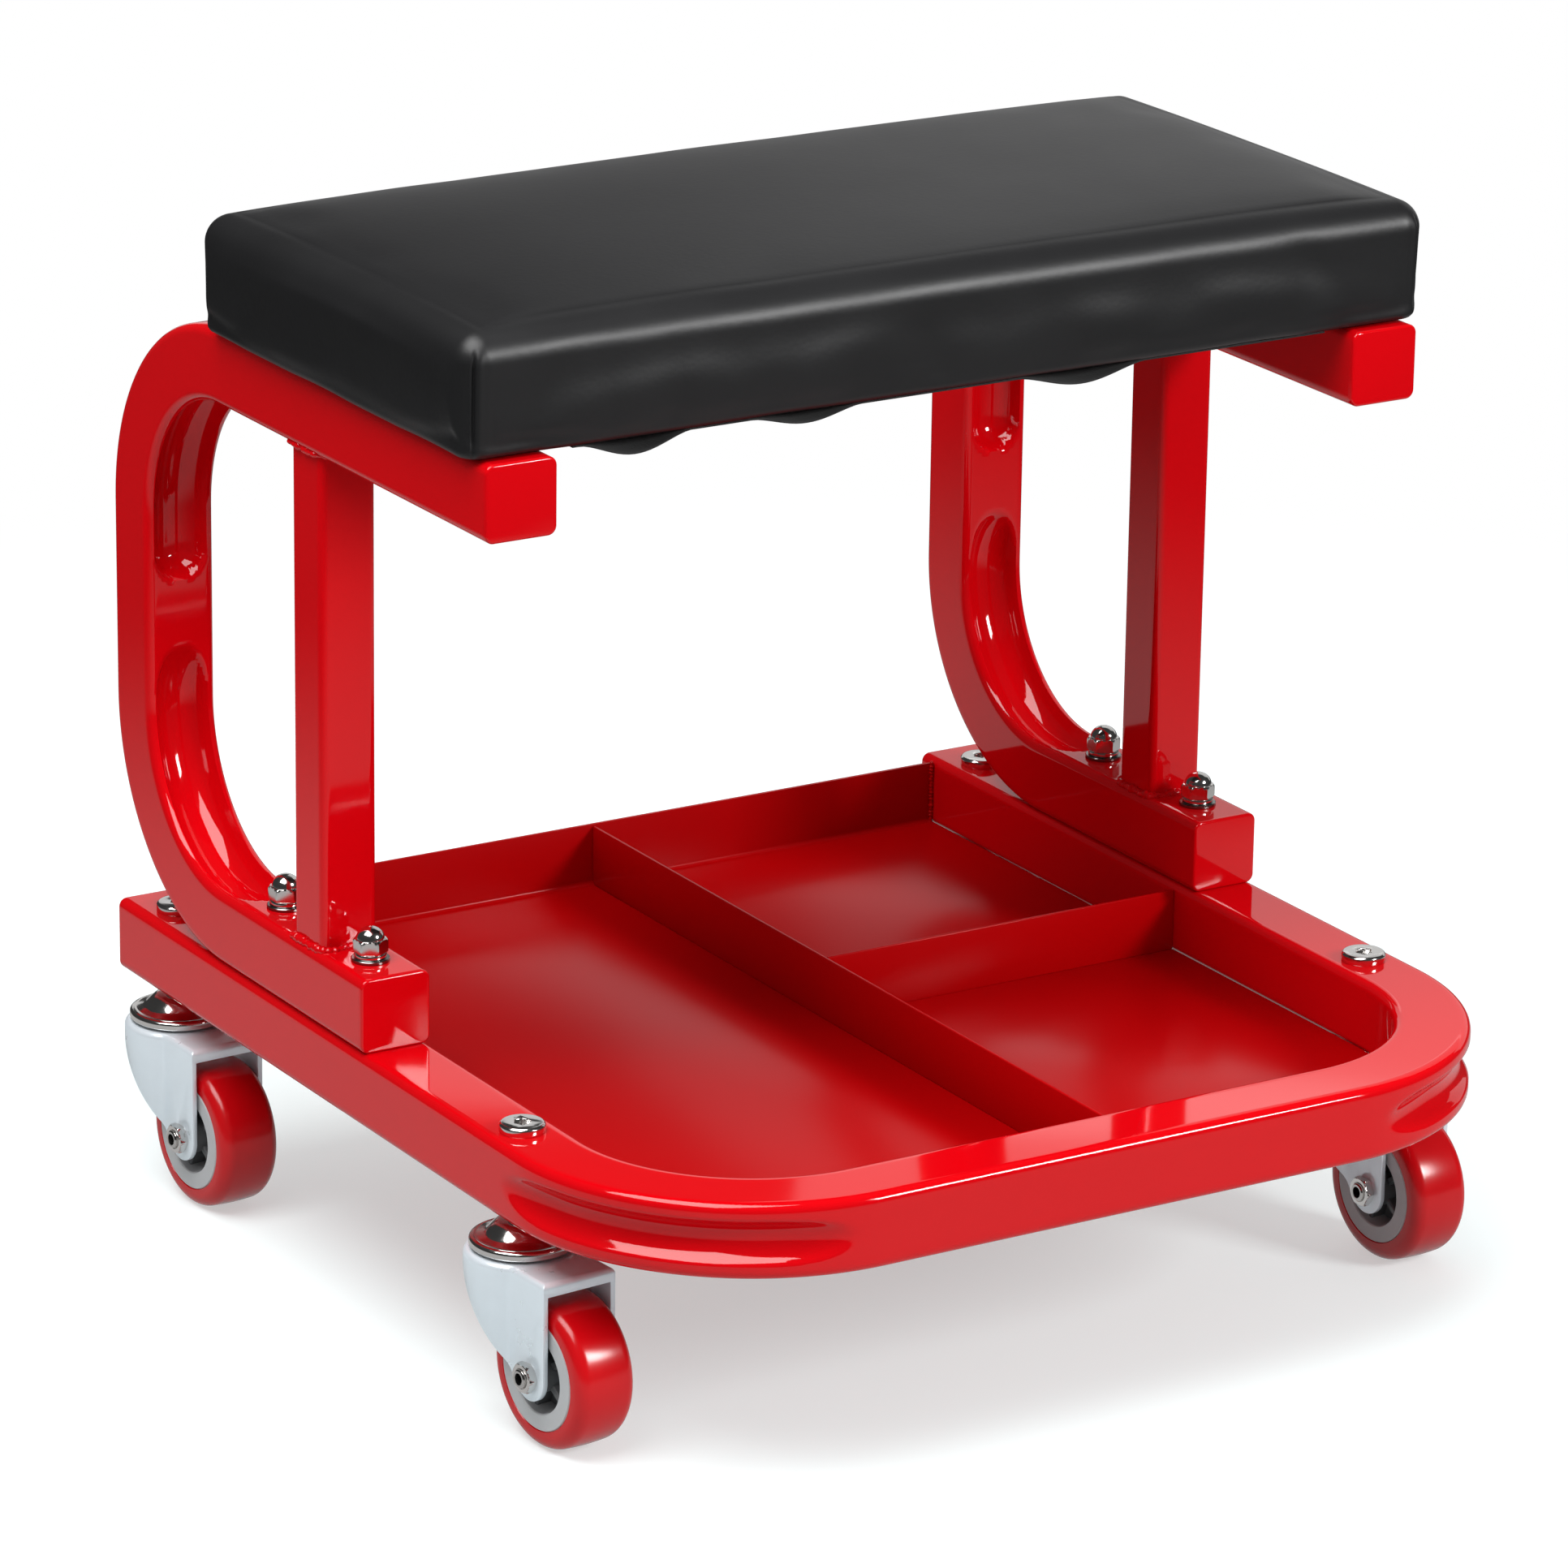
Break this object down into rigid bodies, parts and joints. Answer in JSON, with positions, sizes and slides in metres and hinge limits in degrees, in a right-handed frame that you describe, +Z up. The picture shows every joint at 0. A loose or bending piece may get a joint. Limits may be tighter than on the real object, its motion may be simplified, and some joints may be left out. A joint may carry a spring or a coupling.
{
  "type": "rolling workshop stool",
  "caption": "Low rolling workshop stool: padded rectangular seat on two bent tube side frames, over a divided tool tray on swivel casters.",
  "frame": {"origin": "on the floor, under the middle of the base's length and width", "axes": "+X along the seat's long side, +Y to the open back of the base rail, where the side frames bend, +Z up"},
  "size_m": [0.3578, 0.3544, 0.3569],
  "materials": {
    "red_enamel": "high-gloss enamel",
    "bright_plated_steel": "bright nickel plate",
    "zinc_plated_steel": "satin blue zinc plate",
    "bearing_steel": "polished",
    "red_polyurethane": "glossy",
    "grey_hub_plastic": "satin",
    "bush_plastic": "satin",
    "black_vinyl": "embossed vinyl, soft sheen",
    "seat_foam": "open-cell foam",
    "plywood": "raw",
    "black_cloth": "non-woven cloth"
  },
  "bodies": {
    "frame": {"base_frame": "red_enamel", "base_end_caps": "red_enamel", "left_side_frame": "red_enamel", "right_side_frame": "red_enamel", "side_frame_end_plates": "red_enamel", "left_strut": "red_enamel", "right_strut": "red_enamel", "strut_welds": "red_enamel", "tray_pan": "red_enamel", "tray_long_divider": "red_enamel", "tray_cross_divider": "red_enamel", "side_frame_bolts": "bright_plated_steel", "side_frame_washers": "bright_plated_steel", "side_frame_spring_washers": "bright_plated_steel", "side_frame_cap_nuts": "bright_plated_steel", "caster_sleeve_nuts": "bright_plated_steel", "seat_board": "plywood", "seat_foam": "seat_foam", "seat_cover": "black_vinyl", "seat_dust_cloth": "black_cloth", "seat_bolts": "zinc_plated_steel", "seat_bolt_washers": "zinc_plated_steel", "seat_tee_nuts": "zinc_plated_steel", "seat_staples": "bearing_steel", "front_left_stem": "bright_plated_steel", "front_left_race": "bright_plated_steel", "front_left_balls": "bearing_steel", "front_right_stem": "bright_plated_steel", "front_right_race": "bright_plated_steel", "front_right_balls": "bearing_steel", "rear_left_stem": "bright_plated_steel", "rear_left_race": "bright_plated_steel", "rear_left_balls": "bearing_steel", "rear_right_stem": "bright_plated_steel", "rear_right_race": "bright_plated_steel", "rear_right_balls": "bearing_steel"},
    "front_left_swivel": {"front_left_fork": "zinc_plated_steel", "front_left_axle_bolt": "bearing_steel", "front_left_axle_nut": "bearing_steel"},
    "front_left_wheel": {"front_left_tyre": "red_polyurethane", "front_left_hub": "grey_hub_plastic", "front_left_bushes": "bush_plastic"},
    "front_right_swivel": {"front_right_fork": "zinc_plated_steel", "front_right_axle_bolt": "bearing_steel", "front_right_axle_nut": "bearing_steel"},
    "front_right_wheel": {"front_right_tyre": "red_polyurethane", "front_right_hub": "grey_hub_plastic", "front_right_bushes": "bush_plastic"},
    "rear_left_swivel": {"rear_left_fork": "zinc_plated_steel", "rear_left_axle_bolt": "bearing_steel", "rear_left_axle_nut": "bearing_steel"},
    "rear_left_wheel": {"rear_left_tyre": "red_polyurethane", "rear_left_hub": "grey_hub_plastic", "rear_left_bushes": "bush_plastic"},
    "rear_right_swivel": {"rear_right_fork": "zinc_plated_steel", "rear_right_axle_bolt": "bearing_steel", "rear_right_axle_nut": "bearing_steel"},
    "rear_right_wheel": {"rear_right_tyre": "red_polyurethane", "rear_right_hub": "grey_hub_plastic", "rear_right_bushes": "bush_plastic"}
  },
  "joints": [
    {"name": "front_left_swivel_turn", "type": "hinge", "parent": "frame", "child": "front_left_swivel", "pos_m": [-0.16, -0.07725, 0.058], "axis": [0, 0, 1], "continuous": true},
    {"name": "front_left_wheel_roll", "type": "hinge", "parent": "front_left_swivel", "child": "front_left_wheel", "pos_m": [-0.15795, -0.10066, 0.025], "axis": [0.9962, 0.0872, 0], "continuous": true},
    {"name": "front_right_swivel_turn", "type": "hinge", "parent": "frame", "child": "front_right_swivel", "pos_m": [0.16, -0.07725, 0.058], "axis": [0, 0, 1], "continuous": true},
    {"name": "front_right_wheel_roll", "type": "hinge", "parent": "front_right_swivel", "child": "front_right_wheel", "pos_m": [0.16082, -0.10074, 0.025], "axis": [0.9994, 0.0349, 0], "continuous": true},
    {"name": "rear_left_swivel_turn", "type": "hinge", "parent": "frame", "child": "rear_left_swivel", "pos_m": [-0.16, 0.15715, 0.058], "axis": [0, 0, 1], "continuous": true},
    {"name": "rear_left_wheel_roll", "type": "hinge", "parent": "rear_left_swivel", "child": "rear_left_wheel", "pos_m": [-0.15877, 0.13368, 0.025], "axis": [0.9986, 0.0523, 0], "continuous": true},
    {"name": "rear_right_swivel_turn", "type": "hinge", "parent": "frame", "child": "rear_right_swivel", "pos_m": [0.16, 0.15715, 0.058], "axis": [0, 0, 1], "continuous": true},
    {"name": "rear_right_wheel_roll", "type": "hinge", "parent": "rear_right_swivel", "child": "rear_right_wheel", "pos_m": [0.16082, 0.13366, 0.025], "axis": [0.9994, 0.0349, 0], "continuous": true}
  ]
}
